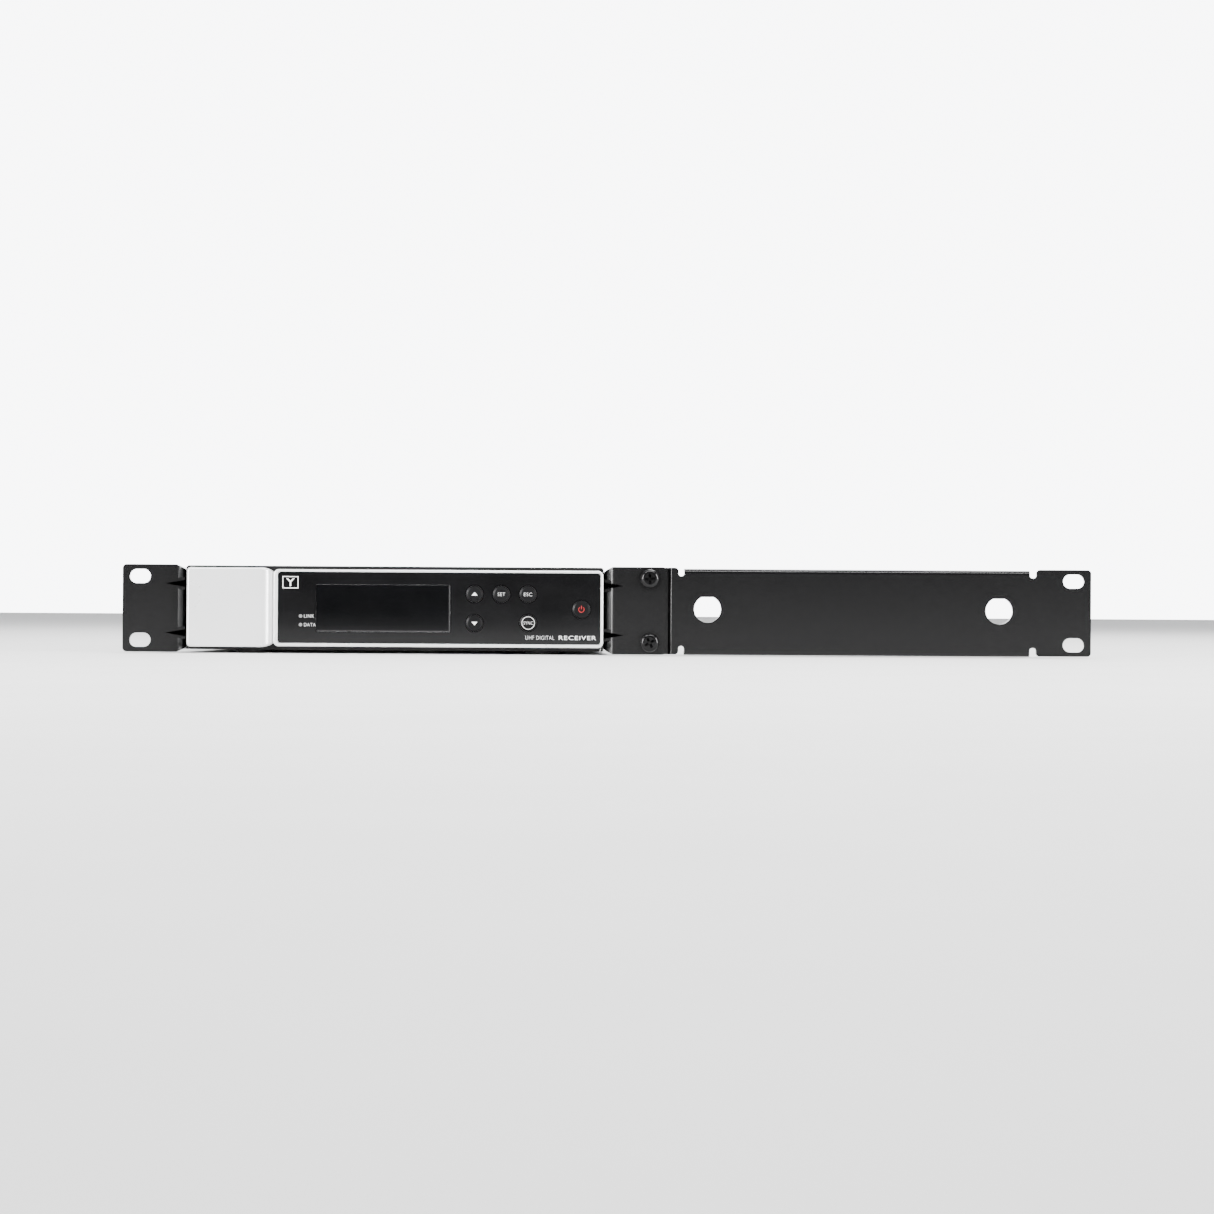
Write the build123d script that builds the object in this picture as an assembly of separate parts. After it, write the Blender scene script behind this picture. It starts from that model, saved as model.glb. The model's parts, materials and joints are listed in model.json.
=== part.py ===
from build123d import *
import os

# Half-rack wireless receiver with its 19-inch rack kit: brackets, blanking panel and fasteners.
# Millimetres. X runs along the rack, Y from the front to the rear, Z up. The origin is on the
# surface the feet stand on, under the middle of the 19-inch width and of the depth.

# ---- Overall sizes, set by the 19-inch rack standard and the half-rack class ----
RACK_WIDTH = 482.6
SLOT_PITCH_X = 465.1
SLOT_PITCH_Z = 31.75
SLOT_LENGTH = 10.5
SLOT_WIDTH = 7.0
PANEL_HEIGHT = 43.6
TOTAL_HEIGHT = 44.0
TOTAL_DEPTH = 189.0
HOUSING_WIDTH = 208.2
HOUSING_MID_X = -105.8
FOOT_HEIGHT = 1.8

# ---- Planes and spans that follow from them ----
FRONT = -TOTAL_DEPTH / 2
REAR = TOTAL_DEPTH / 2
RACK_Z = TOTAL_HEIGHT - PANEL_HEIGHT / 2
EAR_X = -RACK_WIDTH / 2
HOUSING_X = (HOUSING_MID_X - HOUSING_WIDTH / 2, HOUSING_MID_X + HOUSING_WIDTH / 2)
HOUSING_Z = (FOOT_HEIGHT, 43.6)
HOUSING_Y = (FRONT + 9.0, REAR - 12.5)
SHEET = 2.0
EAR_FRONT = HOUSING_Y[0] - SHEET

# ---- Front frame and fascia ----
BLOCK_X = (HOUSING_X[0] + 1.4, -166.0)
BLOCK_Z = (3.1, 42.55)
BLOCK_ROLL = 5.6
BLOCK_SHOULDER = 1.9
BLOCK_EDGE = 1.25
RIM_X = (-165.8, HOUSING_X[1] - 0.05)
RIM_Z = (3.5, 41.85)
RIM_FRONT = FRONT + 2.9
FASCIA_X = (-163.6, -3.05)
FASCIA_Z = (5.1, 40.65)
SKIRT_Z = (5.0, 40.4)
HOLLOW_Z = (6.2, 39.2)
FASCIA_Y = (FRONT + 3.4, FRONT + 5.5)
FLOOR_BACK = FASCIA_Y[1] + 2.0
SKIRT_BACK = FRONT + 17.9
FLANGE_Y = (SKIRT_BACK + 0.1, SKIRT_BACK + 1.1)
FRAME_SCREW_X = (-204.4, -7.2)
FRAME_SCREW_Z = (9.0, 36.0)

# ---- Display, buttons and status lights: places on the fascia as (x, z) ----
DISPLAY_X = (-144.6, -77.8)
DISPLAY_Z = (10.9, 34.4)
BUTTONS = {
    "up": (-65.7, 30.0),
    "down": (-65.7, 15.5),
    "set": (-52.4, 30.0),
    "esc": (-39.2, 30.0),
    "sync": (-39.0, 15.8),
    "power": (-12.6, 22.65),
}
BUTTON_RADIUS = 4.15
BUTTON_BEVEL = 0.9
BUTTON_PROUD = 0.8
BUTTON_TRAVEL = 0.6
STATUS_LIGHTS = {"link": (-152.2, 18.6), "data": (-152.2, 14.3)}
LIGHT_RADIUS = 0.85

# ---- Circuit boards ----
CONTROL_BOARD_X = (-161.0, -5.8)
CONTROL_BOARD_Y = (FRONT + 14.0, FRONT + 15.6)
CONTROL_BOARD_Z = (7.5, 38.5)
CONTROL_SCREWS = [(x, z) for x in (-157.0, -27.0) for z in (11.0, 35.0)]
MAIN_BOARD_X = (-203.2, -8.4)
MAIN_BOARD_Y = (-68.0, 77.0)
MAIN_BOARD_Z = (8.0, 9.6)
BOARD_SCREWS = [(x, y) for x in (-199.0, -106.0, -13.0) for y in (-62.0, 20.0)]
BOARD_TOP = MAIN_BOARD_Z[1]

# ---- Housing sheets ----
COVER_SHEET = 1.2
HEM_GAP = 0.1
TRAY_SHEET = 1.0
TRAY_X = (HOUSING_X[0] + COVER_SHEET + 0.1, HOUSING_X[1] - COVER_SHEET - 0.1)
TRAY_FLOOR = HOUSING_Z[0] + TRAY_SHEET
REAR_WALL_Y = (HOUSING_Y[1] - TRAY_SHEET, HOUSING_Y[1])
COVER_SCREWS = [(y, 10.0) for y in (10.0, 72.0)]

# ---- Rear panel: places as (x, z) ----
ANTENNAS = {1: (-15.5, 24.0), 2: (-196.5, 24.0)}
XLR_AT = (-56.0, 23.0)
JACK_AT = (-91.0, 21.5)
DC_AT = (-165.0, 15.5)
HOOK_AT = (-149.0, 16.0)
PLATE_X = (-138.0, -108.0)
PLATE_Z = (14.0, 32.0)
ANTENNA_BARREL_RADIUS = 4.85
JACK_BORE_RADIUS = 3.2
XLR_CAVITY_RADIUS = 9.5

# ---- Rack kit ----
EAR_WIDTH = HOUSING_X[0] - EAR_X
BEND_RADIUS = 6.5
EAR_Z = (TOTAL_HEIGHT - PANEL_HEIGHT, TOTAL_HEIGHT)
LEG_LENGTH = 54.0
EAR_SCREWS = [(y, RACK_Z) for y in (-66.0, -41.0)]
DART_OFFSET = 12.3
DART_REACH = 10.1
DART_SLOPE = 0.28
SLOT_X = SLOT_PITCH_X / 2
BRACKET_END_X = HOUSING_X[1] + EAR_WIDTH
BRIDGE_BOLT_X = 21.4
WASHER_RADIUS = 5.8
BLANK_Z = (EAR_Z[0] + 0.2, EAR_Z[1] - 0.2)
CHANNEL_X = (38.5, 210.7)
CHANNEL_Z = (0.4, 43.3)
NOTCHES_X = ((35.7, 38.5), (210.7, 214.0))
CHANNEL_DEPTH = 11.0
ANTENNA_HOLES = (50.2, 195.5)
ANTENNA_HOLE_Z = 23.2
ANTENNA_HOLE_RADIUS = 6.7
ANTENNA_HOLE_FLAT = 6.0
FEET = [(x, y) for x in (-177.4, -33.0) for y in (-70.0, 66.0)]
FOOT_RADIUS = 8.5


# ---- Building blocks ----
def block(x, y, z):
    """A box from its (low, high) spans."""
    centre = [(low + high) / 2 for low, high in (x, y, z)]
    return Pos(*centre) * Box(x[1] - x[0], y[1] - y[0], z[1] - z[0])


def rod(axis, at, radius, span):
    """A cylinder along 'x', 'y' or 'z'; `at` is its place on the other two axes, in order."""
    middle = (span[0] + span[1]) / 2
    places = {
        "x": (Pos(middle, at[0], at[1]), Rot(0, 90, 0)),
        "y": (Pos(at[0], middle, at[1]), Rot(90, 0, 0)),
        "z": (Pos(at[0], at[1], middle), Rot(0, 0, 0)),
    }
    place, turn = places[axis]
    return place * turn * Cylinder(radius, span[1] - span[0])


def plate(x, y, z, radius):
    """A plate that faces along Y, with rounded corners."""
    face = Plane(
        origin=((x[0] + x[1]) / 2, y[1], (z[0] + z[1]) / 2), x_dir=(1, 0, 0), z_dir=(0, -1, 0)
    )
    return extrude(face * RectangleRounded(x[1] - x[0], z[1] - z[0], radius), y[1] - y[0])


def prism(plane, corners, length):
    """A straight prism that stands on a plane, from the corners of its outline."""
    return extrude(plane * make_face(Polyline(*corners, close=True)), length, dir=plane.z_dir)


def around(point, half):
    """The (low, high) span centred on a coordinate."""
    return (point - half, point + half)


def edges_by(shape, axis, points):
    """The edge parallel to an axis nearest to each point."""
    along = shape.edges().filter_by(axis)
    return [min(along, key=lambda e: (e.center() - Vector(*p)).length) for p in points]


def slot_cutter(x, z, length, width, y):
    """A slot along X, cut through a sheet that spans y."""
    face = Plane(origin=(x, y[1] + 1, z), x_dir=(1, 0, 0), z_dir=(0, -1, 0))
    return extrude(face * SlotOverall(length, width), y[1] - y[0] + 2)


def toward(point, direction):
    """A frame at a point whose local Z looks along a direction."""
    return Plane(origin=point, z_dir=direction)


def cross_recess(radius, depth):
    """The cutter of a cross recess, with its mouth at z = 0."""
    arm = radius * 0.46
    arms = Box(2 * radius, arm, depth) + Box(arm, 2 * radius, depth)
    return Pos(0, 0, -depth / 2) * (arms & Cone(arm * 0.7, radius, depth))


def pan_screw(shank, length, head, height):
    """A pan-head screw: the head stands on z = 0, and the shank runs down from it."""
    cap = Pos(0, 0, height / 2) * Cylinder(head, height)
    cap = fillet(cap.edges().sort_by(Axis.Z)[-1], height * 0.55)
    screw = cap + Pos(0, 0, -length / 2) * Cylinder(shank, length)
    return screw - Pos(0, 0, height) * cross_recess(head * 0.56, height * 0.6)


def countersunk_screw(shank, length, head):
    """A countersunk screw, flush with z = 0, and its shank below."""
    depth = head - shank
    screw = Pos(0, 0, -depth / 2) * Cone(shank, head, depth)
    screw += Pos(0, 0, -length / 2) * Cylinder(shank, length)
    return screw - cross_recess(head * 0.6, depth * 0.8)


def hex_nut(across, height, hole):
    """A hexagon nut that stands on z = 0, with its corners eased."""
    body = extrude(RegularPolygon(across / 2, 6, major_radius=False), height)
    ease = Cone(across * 0.5 + height, across * 0.545, height)
    return (body & Pos(0, 0, height / 2) * ease) - Pos(0, 0, height / 2) * Cylinder(hole, 2 * height)


def group(shapes):
    """Separate solids kept in one node."""
    return Compound([solid for shape in shapes for solid in shape.solids()])


# ---- Front ----
def block_outline():
    """The block's outline from the front: round corners on the left, long shoulders on the right."""
    (left, right), (low, high) = BLOCK_X, BLOCK_Z
    corner = 2.0
    start = right - BLOCK_ROLL
    with BuildLine() as line:
        Line((start, high), (left + corner, high))
        TangentArc((left + corner, high), (left, high - corner), tangent=(-1, 0))
        Line((left, high - corner), (left, low + corner))
        TangentArc((left, low + corner), (left + corner, low), tangent=(0, -1))
        Line((left + corner, low), (start, low))
        TangentArc((start, low), (right, low + BLOCK_SHOULDER), tangent=(1, 0))
        Line((right, low + BLOCK_SHOULDER), (right, high - BLOCK_SHOULDER))
        TangentArc((start, high), (right, high - BLOCK_SHOULDER), tangent=(1, 0))
    return make_face(line.line)


def front_frame():
    """Die-cast front: a proud block on the left and a rim round the fascia's recess."""
    facing = Plane(origin=(0, FRONT, 0), x_dir=(1, 0, 0), z_dir=(0, -1, 0))
    left = extrude(facing * block_outline(), HOUSING_Y[0] - FRONT, dir=(0, 1, 0))
    left = fillet(edges_by(left, Axis.Z, [(BLOCK_X[1], FRONT, RACK_Z)]), BLOCK_ROLL)
    seam_x = BLOCK_X[1] - BLOCK_ROLL
    flat_edges = [e for e in left.faces().sort_by(Axis.Y)[0].edges() if e.center().X < seam_x - 0.1]
    left = fillet(flat_edges, BLOCK_EDGE)

    right = plate(RIM_X, (RIM_FRONT, HOUSING_Y[0]), RIM_Z, 2.7)
    right = fillet(right.faces().sort_by(Axis.Y)[0].edges(), 0.75)
    recess = plate(FASCIA_X, (RIM_FRONT - 1, FASCIA_Y[1]), FASCIA_Z, 1.1)
    right -= recess
    lip = [e for e in right.faces().sort_by(Axis.Y)[0].inner_wires().edges()]
    right = fillet(lip, 0.25)

    web = block((BLOCK_X[1] - 2, RIM_X[0] + 2), (FRONT + 4.2, HOUSING_Y[0]), SKIRT_Z)
    skirt_x = (TRAY_X[0] + TRAY_SHEET + 0.1, TRAY_X[1] - TRAY_SHEET - 0.1)
    skirt = block(skirt_x, (HOUSING_Y[0] - 0.5, SKIRT_BACK), SKIRT_Z)
    frame = left + right + web + skirt

    inside_z = (6.9, 38.9)
    frame -= block((-205.9, -169.8), (FRONT + 2.2, SKIRT_BACK + 1), HOLLOW_Z)
    frame -= block((-167.8, -5.4), (FLOOR_BACK, SKIRT_BACK + 1), HOLLOW_Z)
    frame -= plate(around(-111.2, 31.6), (FRONT, SKIRT_BACK), around(22.65, 10.1), 0.6)
    for name, place in BUTTONS.items():
        frame -= rod("y", place, cap_radius(name) + 0.2, (FRONT, FLOOR_BACK + 1))
    for x, z in STATUS_LIGHTS.values():
        frame -= rod("y", (x, z), LIGHT_RADIUS + 0.05, (FRONT, FLOOR_BACK + 1))
    for x, z in CONTROL_SCREWS:
        frame += rod("y", (x, z), 2.6, (FLOOR_BACK - 0.5, CONTROL_BOARD_Y[0]))
        frame -= rod("y", (x, z), 1.25, (CONTROL_BOARD_Y[0] - 5, CONTROL_BOARD_Y[0] + 1))
    for x in FRAME_SCREW_X:
        for z in FRAME_SCREW_Z:
            start = FRONT + 2.0 if x < HOUSING_MID_X else FLOOR_BACK - 0.5
            frame += rod("y", (x, z), 2.4, (start, SKIRT_BACK))
            frame += block(around(x, 2.4), (start, SKIRT_BACK), around(z, 1.6)) & block(
                (skirt_x[0], skirt_x[1]), (FRONT, SKIRT_BACK), inside_z
            )
            frame -= rod("y", (x, z), 1.5, (SKIRT_BACK - 7, SKIRT_BACK + 1))
    return frame


def fascia_panel():
    """Gloss panel with openings for the display window, the buttons and the lights."""
    gap = 0.1
    x = (FASCIA_X[0] + gap, FASCIA_X[1] - gap)
    z = (FASCIA_Z[0] + gap, FASCIA_Z[1] - gap)
    panel = plate(x, FASCIA_Y, z, 1.8)
    panel -= plate(DISPLAY_X, (FRONT, HOUSING_Y[0]), DISPLAY_Z, 0.8)
    for name, place in BUTTONS.items():
        panel -= rod("y", place, cap_radius(name) + 0.2, (FRONT, HOUSING_Y[0]))
    for place in STATUS_LIGHTS.values():
        panel -= rod("y", place, LIGHT_RADIUS + 0.05, (FRONT, HOUSING_Y[0]))
    front_edges = panel.faces().sort_by(Axis.Y)[0].edges()
    return chamfer(front_edges, 0.12)


def display_window():
    """Clear window set into the fascia, a hair below its surface."""
    gap = 0.1
    x = (DISPLAY_X[0] + gap, DISPLAY_X[1] - gap)
    z = (DISPLAY_Z[0] + gap, DISPLAY_Z[1] - gap)
    window = plate(x, (FASCIA_Y[0] + 0.15, FASCIA_Y[1]), z, 0.7)
    return chamfer(window.faces().sort_by(Axis.Y)[0].edges(), 0.12)


def display_panel():
    """Display glass, two bonded sheets behind the window."""
    front = plate(around(-111.2, 36.0), (FLOOR_BACK, FLOOR_BACK + 1.1), around(22.65, 13.6), 0.5)
    ledge = plate(around(-111.2, 34.0), (FLOOR_BACK + 1.1, FLOOR_BACK + 1.8), around(22.65, 13.6), 0.5)
    return front + ledge


def display_holder():
    """Moulded tray that holds the display against the frame and stands on the control board."""
    back = CONTROL_BOARD_Y[0]
    holder = plate(around(-111.2, 37.4), (FLOOR_BACK + 0.1, back), around(22.65, 14.8), 1.0)
    holder -= plate(around(-111.2, 36.1), (FLOOR_BACK, FLOOR_BACK + 1.9), around(22.65, 13.7), 0.5)
    return holder - block(around(-111.2, 30), (FLOOR_BACK + 3.4, back + 1), around(22.65, 11))


def cap_radius(name):
    """The power key is a little larger than the others."""
    return BUTTON_RADIUS + (0.25 if name == "power" else 0.0)


def button_cap(name, place):
    """Round cap with a wide bevel, a flange behind the frame's floor and a stem to the switch."""
    radius = cap_radius(name)
    face = FASCIA_Y[0] - BUTTON_PROUD
    flange = (FLOOR_BACK + 0.1, FLOOR_BACK + 1.0)
    cap = rod("y", place, radius, (face, flange[1]))
    cap = chamfer(cap.edges().sort_by(Axis.Y)[0], 0.35, BUTTON_BEVEL)
    cap = fillet(cap.edges().sort_by(Axis.Y)[0:2], 0.2)
    cap += rod("y", place, radius + 1.0, flange)
    return cap + rod("y", place, 1.5, (flange[1] - 0.2, CONTROL_BOARD_Y[0] - 2.0))


def tact_switch(place):
    """Square switch on the control board, with a bore for the cap's stem."""
    x, z = place
    front = CONTROL_BOARD_Y[0] - 3.5
    body = plate(around(x, 3.0), (front, CONTROL_BOARD_Y[0]), around(z, 3.0), 0.5)
    return body - rod("y", place, 1.65, (front - 1, front + 1.5 + BUTTON_TRAVEL + 0.2))


def light_pipe(place):
    """Clear pipe from a status light to the fascia's surface, with a collar behind the floor."""
    pipe = rod("y", place, LIGHT_RADIUS, (FASCIA_Y[0], CONTROL_BOARD_Y[0] - 1.6))
    return pipe + rod("y", place, 1.5, (FLOOR_BACK, FLOOR_BACK + 0.9))


def status_leds():
    return group(
        block(around(x, 0.8), (CONTROL_BOARD_Y[0] - 0.8, CONTROL_BOARD_Y[0]), around(z, 0.4))
        for x, z in STATUS_LIGHTS.values()
    )


def control_board():
    board = block(CONTROL_BOARD_X, CONTROL_BOARD_Y, CONTROL_BOARD_Z)
    for place in CONTROL_SCREWS:
        board -= rod("y", place, 1.35, (CONTROL_BOARD_Y[0] - 1, CONTROL_BOARD_Y[1] + 1))
    for z in FRAME_SCREW_Z:
        board -= rod("y", (FRAME_SCREW_X[1], z), 3.1, (CONTROL_BOARD_Y[0] - 1, CONTROL_BOARD_Y[1] + 1))
    return board


def control_board_screws():
    back = CONTROL_BOARD_Y[1]
    screw = pan_screw(1.2, 5.5, 2.2, 1.6)
    return group(toward((x, back, z), (0, 1, 0)) * screw for x, z in CONTROL_SCREWS)


def frame_screws():
    screw = pan_screw(1.45, 7.0, 2.7, 2.0)
    return group(
        toward((x, FLANGE_Y[1], z), (0, 1, 0)) * screw for x in FRAME_SCREW_X for z in FRAME_SCREW_Z
    )


# ---- Housing ----
def rear_openings():
    """Cutters for everything that passes through the rear wall."""
    span = (REAR_WALL_Y[0] - 1, REAR_WALL_Y[1] + 1)
    cutters = [rod("y", place, 6.45, span) for place in ANTENNAS.values()]
    cutters.append(rod("y", XLR_AT, 12.0, span))
    cutters += [rod("y", place, 1.6, span) for place in xlr_screw_places()]
    cutters.append(rod("y", JACK_AT, 6.1, span))
    cutters.append(block(around(DC_AT[0], 4.7), span, around(DC_AT[1], 5.9)))
    cutters.append(block(around(HOOK_AT[0], 3.1), span, around(HOOK_AT[1], 1.6)))
    return cutters


def base_tray():
    """Folded steel tray: floor, sides, rear wall and two front flanges."""
    outer = block(TRAY_X, HOUSING_Y, (HOUSING_Z[0], 42.2))
    bottom = [(TRAY_X[0], 0, HOUSING_Z[0]), (TRAY_X[1], 0, HOUSING_Z[0])]
    outer = fillet(edges_by(outer, Axis.Y, bottom), 1.5)
    top = [(TRAY_X[0], 0, 42.2), (TRAY_X[1], 0, 42.2)]
    outer = chamfer(edges_by(outer, Axis.Y, top), 0.8)
    inside_x = (TRAY_X[0] + TRAY_SHEET, TRAY_X[1] - TRAY_SHEET)
    inner = block(inside_x, (HOUSING_Y[0] - 5, REAR_WALL_Y[0]), (TRAY_FLOOR, 60))
    inner = fillet(
        edges_by(inner, Axis.Y, [(inside_x[0], 0, TRAY_FLOOR), (inside_x[1], 0, TRAY_FLOOR)]), 0.3
    )
    tray = outer - inner
    tray -= block((TRAY_X[0] - 1, TRAY_X[1] + 1), (HOUSING_Y[0] - 1, REAR_WALL_Y[0] - 4), (40.0, 60))
    hem_y = (HOUSING_Y[0], HOUSING_Y[0] + TRAY_SHEET)
    tray += block(inside_x, hem_y, (TRAY_FLOOR - 0.5, SKIRT_Z[0] - HEM_GAP))
    flange_z = (TRAY_FLOOR, 40.0)
    tray += block((inside_x[0], inside_x[0] + 10), FLANGE_Y, flange_z)
    tray += block((inside_x[1] - 8, inside_x[1]), FLANGE_Y, flange_z)
    for x in FRAME_SCREW_X:
        for z in FRAME_SCREW_Z:
            tray -= rod("y", (x, z), 1.6, (FLANGE_Y[0] - 1, FLANGE_Y[1] + 1))
    side_span = (HOUSING_X[0] - 1, HOUSING_X[1] + 1)
    for y, z in EAR_SCREWS:
        tray -= rod("x", (y, z), 2.6, side_span)
    for y, z in COVER_SCREWS:
        tray -= rod("x", (y, z), 1.5, side_span)
    for cutter in rear_openings():
        tray -= cutter
    return tray


def top_cover():
    """Folded steel cover: top and both sides, with the front edge eased."""
    outer = block(HOUSING_X, HOUSING_Y, HOUSING_Z)
    top_edges = [(HOUSING_X[0], 0, HOUSING_Z[1]), (HOUSING_X[1], 0, HOUSING_Z[1])]
    outer = fillet(edges_by(outer, Axis.Y, top_edges), 1.4)
    inside_x = (HOUSING_X[0] + COVER_SHEET, HOUSING_X[1] - COVER_SHEET)
    inside_top = HOUSING_Z[1] - COVER_SHEET
    inner = block(inside_x, (HOUSING_Y[0] - 5, HOUSING_Y[1] + 5), (0, inside_top))
    inner = fillet(
        edges_by(inner, Axis.Y, [(inside_x[0], 0, inside_top), (inside_x[1], 0, inside_top)]), 0.3
    )
    cover = outer - inner
    hem_y = (HOUSING_Y[0], HOUSING_Y[0] + COVER_SHEET)
    hem_z = (SKIRT_Z[1] + HEM_GAP, inside_top + 0.5)
    cover += block(around(HOUSING_MID_X, HOUSING_WIDTH / 2 - 1), hem_y, hem_z)
    for y, z in EAR_SCREWS:
        cover -= rod("x", (y, z), 2.2, (HOUSING_X[0] - 1, HOUSING_X[1] + 1))
    for y, z in COVER_SCREWS:
        cover -= rod("x", (y, z), 1.5, (HOUSING_X[0] - 1, HOUSING_X[1] + 1))
        for x, way in ((HOUSING_X[0], -1), (HOUSING_X[1], 1)):
            cover -= toward((x, y, z), (way, 0, 0)) * Pos(0, 0, -0.6) * Cone(1.55, 2.75, 1.2)
    front_top = edges_by(cover, Axis.X, [(HOUSING_MID_X, HOUSING_Y[0], HOUSING_Z[1])])
    return fillet(front_top, 0.5)


def cover_screws():
    screw = countersunk_screw(1.45, 6.0, 2.6)
    return group(
        toward((x, y, z), (way, 0, 0)) * screw
        for x, way in ((HOUSING_X[0], -1), (HOUSING_X[1], 1))
        for y, z in COVER_SCREWS
    )


def ear_nuts():
    """Press nuts in the tray's sides, which take the bracket screws."""
    nuts = []
    for inner, way in ((TRAY_X[0] + TRAY_SHEET, 1), (TRAY_X[1] - TRAY_SHEET, -1)):
        for y, z in EAR_SCREWS:
            span = sorted((inner, inner + way * 2.4))
            collar = sorted((inner - way * TRAY_SHEET, inner))
            nut = rod("x", (y, z), 3.6, span) + rod("x", (y, z), 2.55, collar)
            nuts.append(nut - rod("x", (y, z), 2.05, (span[0] - 2, span[1] + 2)))
    return group(nuts)


def foot(place):
    """Stick-on rubber foot with an eased rim."""
    pad = rod("z", place, FOOT_RADIUS, (0, FOOT_HEIGHT))
    return chamfer(pad.edges().sort_by(Axis.Z)[0], 0.7)


# ---- Circuit boards and what is on them ----
def main_board():
    board = block(MAIN_BOARD_X, MAIN_BOARD_Y, MAIN_BOARD_Z)
    for place in BOARD_SCREWS:
        board -= rod("z", place, 1.6, (MAIN_BOARD_Z[0] - 1, MAIN_BOARD_Z[1] + 1))
    return board


def board_standoffs():
    height = MAIN_BOARD_Z[0] - TRAY_FLOOR
    post = extrude(RegularPolygon(2.75, 6, major_radius=False), height)
    post -= Pos(0, 0, height) * Cylinder(1.5, 2 * height - 1)
    return group(Pos(x, y, TRAY_FLOOR) * post for x, y in BOARD_SCREWS)


def board_screws():
    screw = pan_screw(1.45, 4.5, 2.7, 1.9)
    return group(Pos(x, y, BOARD_TOP) * screw for x, y in BOARD_SCREWS)


def shield_can(x, y, height):
    """Tinned can, open below, with a row of vent holes in its top."""
    wall = 0.4
    can = block(x, y, (BOARD_TOP, BOARD_TOP + height))
    inside = ((x[0] + wall, x[1] - wall), (y[0] + wall, y[1] - wall))
    can -= block(*inside, (BOARD_TOP - 1, BOARD_TOP + height - wall))
    middle_x = (x[0] + x[1]) / 2
    middle_y = (y[0] + y[1]) / 2
    for across in (-8, 0, 8):
        for along in (-10, 0, 10):
            place = (middle_x + across, middle_y + along)
            can -= rod("z", place, 1.2, (BOARD_TOP + height - 1, BOARD_TOP + height + 1))
    return can


def board_chips():
    """Flat packages: the processor, two converters and the memory."""
    sizes = [(-128, -20, 14, 14), (-86, 6, 10, 10), (-66, 40, 8, 8), (-150, 30, 12, 8)]
    return group(
        block(around(x, w / 2), around(y, d / 2), (BOARD_TOP, BOARD_TOP + 1.4)) for x, y, w, d in sizes
    )


def filter_capacitors():
    """Upright electrolytic cans of the supply."""
    places = [(-185.0, -8.0), (-174.0, -8.0), (-185.0, -20.0), (-174.0, -20.0)]
    cans = []
    for place in places:
        can = rod("z", place, 4.0, (BOARD_TOP, BOARD_TOP + 11.5))
        cans.append(fillet(can.edges().sort_by(Axis.Z)[-1], 0.6))
    return group(cans)


def power_inductors():
    """Square moulded inductors of the supply."""
    return group(
        fillet(
            block(around(x, 5), around(-40, 5), (BOARD_TOP, BOARD_TOP + 5)).edges().filter_by(Axis.Z), 1.6
        )
        for x in (-185.0, -170.0)
    )


RIBBON_X = (-99.0, -77.0)
RIBBON_Y = CONTROL_BOARD_Y[1] + 1.6
RIBBON_THICK = 0.3


def ribbon_connectors():
    """Flat-cable sockets, one behind the control board and one on the main board."""
    upper = block(
        (RIBBON_X[0] - 2, RIBBON_X[1] + 2), (CONTROL_BOARD_Y[1], CONTROL_BOARD_Y[1] + 3), (26.0, 31.0)
    )
    upper -= block(RIBBON_X, around(RIBBON_Y, 0.3), (25.0, 30.0))
    lower = block((RIBBON_X[0] - 2, RIBBON_X[1] + 2), (-60.0, -55.0), (BOARD_TOP, BOARD_TOP + 3))
    lower -= block(RIBBON_X, (-61.0, -56.0), around(BOARD_TOP + 1.6, 0.3))
    return group([upper, lower])


def ribbon_cable():
    """Flat cable from the control board down and back to the main board."""
    level = BOARD_TOP + 1.6
    path = FilletPolyline(
        (RIBBON_Y, 29.8), (RIBBON_Y, 15.0), (RIBBON_Y + 5.0, level), (-56.2, level), radius=3.0
    )
    with BuildSketch() as strip:
        with BuildLine():
            add(path)
        trace(line_width=RIBBON_THICK)
    side = Plane(origin=(RIBBON_X[0] + 0.2, 0, 0), x_dir=(0, 1, 0), z_dir=(1, 0, 0))
    return extrude(side * strip.sketch, RIBBON_X[1] - RIBBON_X[0] - 0.4)


# ---- Rear connectors ----
def antenna_socket(place):
    """Bayonet coax socket: barrel with two lugs, threaded neck, and a body down to the board."""
    x, z = place
    wall = REAR_WALL_Y[1]
    socket = rod("y", place, ANTENNA_BARREL_RADIUS, (wall, REAR))
    socket = chamfer(socket.edges().sort_by(Axis.Y)[-1], 0.4)
    socket += rod("y", place, 6.35, (REAR_WALL_Y[0] - 3, wall + 3.4))
    socket += rod("x", (REAR - 4.2, z), 1.0, around(x, 5.6))
    socket += block(around(x, 7), (REAR_WALL_Y[0] - 14, REAR_WALL_Y[0] - 0.1), around(z, 7))
    socket += block(around(x, 5), (REAR_WALL_Y[0] - 13, MAIN_BOARD_Y[1] - 2), (BOARD_TOP, z - 6))
    socket -= rod("y", place, 4.1, (wall + 3, REAR + 1))
    return socket - rod("y", place, 2.4, (REAR_WALL_Y[0] - 10, wall + 4))


def antenna_nuts():
    wall = REAR_WALL_Y[1]
    nut = hex_nut(15.0, 2.6, 6.4)
    washer = Pos(0, 0, 0.3) * (Cylinder(8.2, 0.6) - Cylinder(6.4, 2))
    pieces = []
    for x, z in ANTENNAS.values():
        pieces.append(toward((x, wall, z), (0, 1, 0)) * washer)
        pieces.append(toward((x, wall + 0.6, z), (0, 1, 0)) * nut)
    return group(pieces)


def antenna_insulators():
    """White sleeves that centre the contacts in their sockets."""
    sleeves = []
    for place in ANTENNAS.values():
        sleeve = rod("y", place, 2.35, (REAR_WALL_Y[0] - 9, REAR - 3.4))
        sleeves.append(sleeve - rod("y", place, 1.15, (REAR_WALL_Y[0] - 10, REAR)))
    return group(sleeves)


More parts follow.
